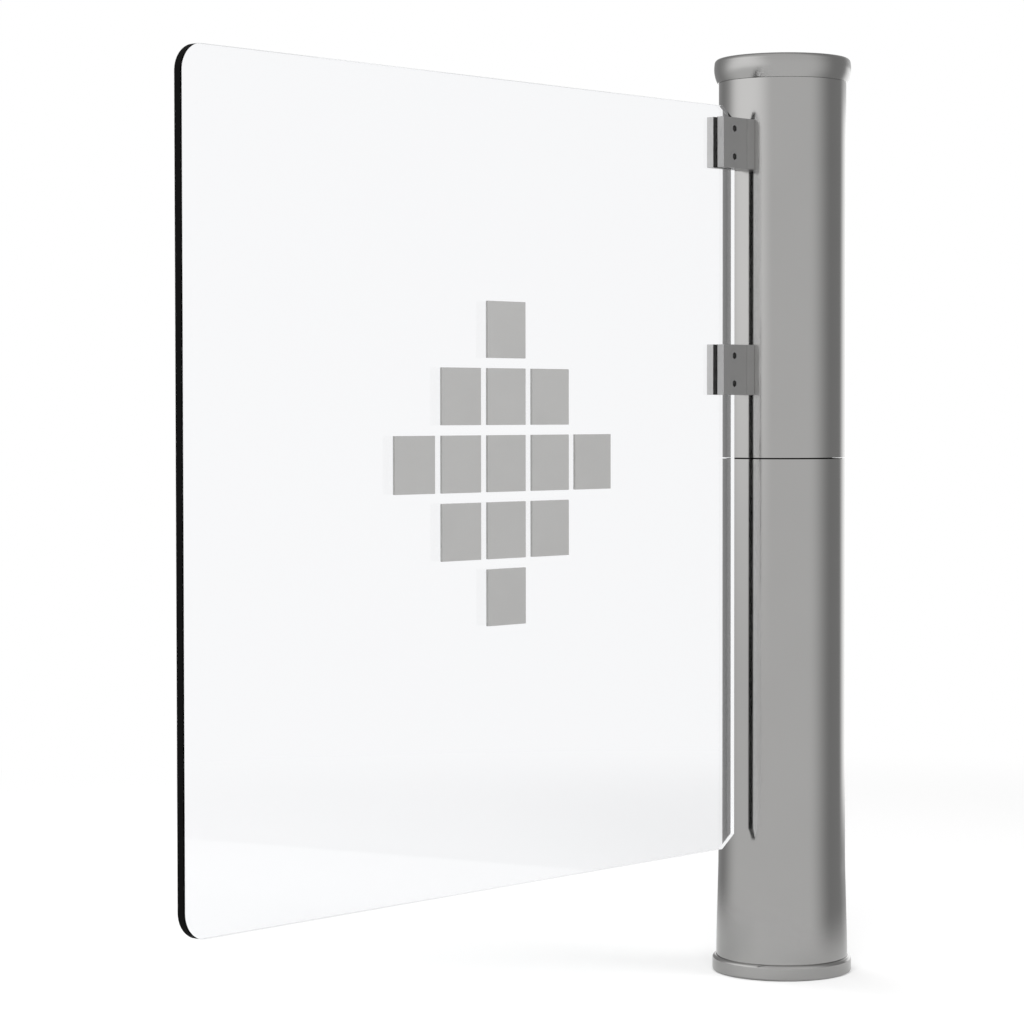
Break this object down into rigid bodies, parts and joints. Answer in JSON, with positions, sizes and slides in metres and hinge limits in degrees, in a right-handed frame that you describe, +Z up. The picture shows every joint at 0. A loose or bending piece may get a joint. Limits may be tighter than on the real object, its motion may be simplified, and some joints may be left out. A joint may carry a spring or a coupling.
{
  "type": "motorized pedestrian swing gate",
  "caption": "Floor standing drive post whose upper sleeve turns and carries one clear glass swing leaf on two clamps, with a plain lozenge of visibility plates.",
  "frame": {"origin": "centre of the underside of the floor flange, on the axis of the post, at floor level", "axes": "+Z up along the post and the hinge, the closed leaf reaches along -X, -Y is the leaf's front face"},
  "size_m": [0.9693, 0.153, 1.005],
  "materials": {
    "post_finish": "satin warm grey metallic coating",
    "clamp_metal": "satin grey, lightly grained",
    "screw_steel": "satin grey steel",
    "rubber": "matt black",
    "glass": "clear toughened glass, polished edges",
    "edge_black": "satin black",
    "marker_grey": "matt mid grey plates",
    "seam_black": "matt black",
    "inner_steel": "plain primed steel, hidden",
    "bright_steel": "ground steel"
  },
  "bodies": {
    "post": {"floor_flange": "inner_steel", "mast": "inner_steel", "base_ring": "post_finish", "lower_sleeve": "post_finish", "seam_collar": "seam_black", "lower_bearing": "seam_black", "upper_bearing": "bright_steel", "drive_unit": "inner_steel"},
    "leaf": {"upper_sleeve": "post_finish", "lower_hub": "inner_steel", "upper_hub": "inner_steel", "output_shaft": "bright_steel", "drive_plate": "inner_steel", "top_cap": "post_finish", "upper_bracket": "clamp_metal", "upper_clamp_plate": "clamp_metal", "upper_front_pad": "rubber", "upper_back_pad": "rubber", "upper_clamp_screws": "screw_steel", "lower_bracket": "clamp_metal", "lower_clamp_plate": "clamp_metal", "lower_front_pad": "rubber", "lower_back_pad": "rubber", "lower_clamp_screws": "screw_steel", "glass_leaf": "glass", "edge_band": "edge_black", "marker_plates": "marker_grey"}
  },
  "joints": [
    {"name": "leaf_swing", "type": "hinge", "parent": "post", "child": "leaf", "pos_m": [0, 0, 0], "axis": [0, 0, 1], "range_deg": [-90, 90]}
  ]
}
